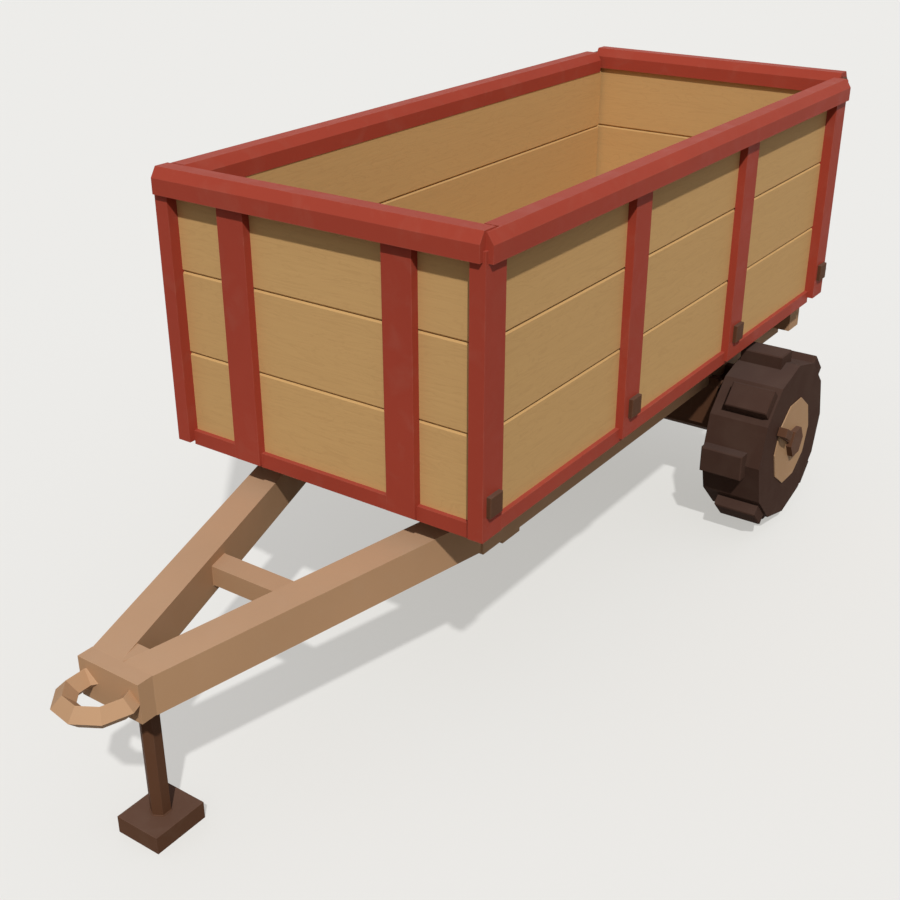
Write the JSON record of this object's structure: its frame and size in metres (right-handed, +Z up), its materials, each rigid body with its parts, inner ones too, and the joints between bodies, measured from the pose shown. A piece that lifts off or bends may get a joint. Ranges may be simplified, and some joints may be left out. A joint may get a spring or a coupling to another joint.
{
  "type": "tipping trailer",
  "caption": "Single-axle farm tipping trailer with planked sides in a painted steel frame, a top-hung tailgate, an A-shaped drawbar with towing eye and a folding jack.",
  "frame": {"origin": "centre of the footprint at ground level", "axes": "+X forward to the towing eye, +Y to the left side, +Z up"},
  "size_m": [4.5714, 1.958, 2.057],
  "materials": {
    "red_paint": "weathered brick-red paint on steel",
    "wood_planks": "oiled softwood planks",
    "tan_paint": "tan paint on steel",
    "dark_brown_paint": "dark brown paint on steel",
    "tyre_rubber": "brown-black rubber, matt",
    "rim_paint": "tan paint on steel",
    "rod_chrome": "polished hard chrome"
  },
  "bodies": {
    "chassis": {"axle_beam": "dark_brown_paint", "axle_bolster": "dark_brown_paint", "axle_bracket_left": "dark_brown_paint", "axle_bracket_right": "dark_brown_paint", "chassis_rail_left": "tan_paint", "chassis_rail_right": "tan_paint", "coupling_block": "tan_paint", "drawbar_beam_left": "tan_paint", "drawbar_beam_right": "tan_paint", "drawbar_cross_bar": "tan_paint", "front_cross_member": "tan_paint", "jack_pin": "dark_brown_paint", "ram_cross_member": "tan_paint", "ram_foot_pin": "dark_brown_paint", "ram_foot_plates": "dark_brown_paint", "rear_cross_member": "tan_paint", "tip_brackets": "dark_brown_paint", "tip_pins": "dark_brown_paint", "towing_eye": "tan_paint"},
    "tipping_body": {"bearer_left": "tan_paint", "bearer_right": "tan_paint", "cleats_left": "dark_brown_paint", "cleats_right": "dark_brown_paint", "deck": "wood_planks", "floor_frame": "red_paint", "floor_joists": "red_paint", "front_planks": "wood_planks", "front_post_left": "red_paint", "front_post_right": "red_paint", "front_rail": "red_paint", "front_stakes": "red_paint", "ram_head_plates": "dark_brown_paint", "rear_post_left": "red_paint", "rear_post_right": "red_paint", "side_planks_left": "wood_planks", "side_planks_right": "wood_planks", "side_rail_left": "red_paint", "side_rail_right": "red_paint", "side_stakes_left": "red_paint", "side_stakes_right": "red_paint", "tailgate_hinge_plates": "dark_brown_paint"},
    "tailgate": {"tailgate_planks": "wood_planks", "tailgate_rail": "red_paint", "tailgate_sill": "red_paint", "tailgate_stakes": "red_paint", "tailgate_uprights": "red_paint"},
    "wheel_left": {"tyre_left": "tyre_rubber", "rim_left": "rim_paint", "hub_left": "dark_brown_paint"},
    "wheel_right": {"tyre_right": "tyre_rubber", "rim_right": "rim_paint", "hub_right": "dark_brown_paint"},
    "jack": {"jack_leg": "dark_brown_paint", "jack_foot": "dark_brown_paint"},
    "ram_barrel": {"ram_barrel": "dark_brown_paint"},
    "ram_rod": {"ram_rod": "rod_chrome"}
  },
  "joints": [
    {"name": "body_tip", "type": "hinge", "parent": "chassis", "child": "tipping_body", "pos_m": [-2.0847, 0, 0.90525], "axis": [0, -1, 0], "range_deg": [0, 45]},
    {"name": "tailgate_swing", "type": "hinge", "parent": "tipping_body", "child": "tailgate", "pos_m": [-2.2292, 0, 2.007], "axis": [0, 1, 0], "range_deg": [0, 95]},
    {"name": "wheel_left_spin", "type": "hinge", "parent": "chassis", "child": "wheel_left", "pos_m": [-1.3997, 0.785, 0.44], "axis": [0, 1, 0], "continuous": true},
    {"name": "wheel_right_spin", "type": "hinge", "parent": "chassis", "child": "wheel_right", "pos_m": [-1.3997, -0.785, 0.44], "axis": [0, 1, 0], "continuous": true},
    {"name": "jack_fold", "type": "hinge", "parent": "chassis", "child": "jack", "pos_m": [1.9483, 0, 0.632], "axis": [0, 1, 0], "range_deg": [0, 80]},
    {"name": "ram_swing", "type": "hinge", "parent": "chassis", "child": "ram_barrel", "pos_m": [-0.8147, 0, 0.7], "axis": [0, -1, 0], "range_deg": [0, 67.2]},
    {"name": "ram_stroke", "type": "slide", "parent": "ram_barrel", "child": "ram_rod", "axis": [0.9859, 0, 0.1672], "range_m": [0, 0.795]}
  ],
  "couplings": [
    {"joint": "ram_swing", "follows": "body_tip", "ratio": 1.4924},
    {"joint": "ram_stroke", "follows": "body_tip", "m_per_rad": 1.0119}
  ]
}
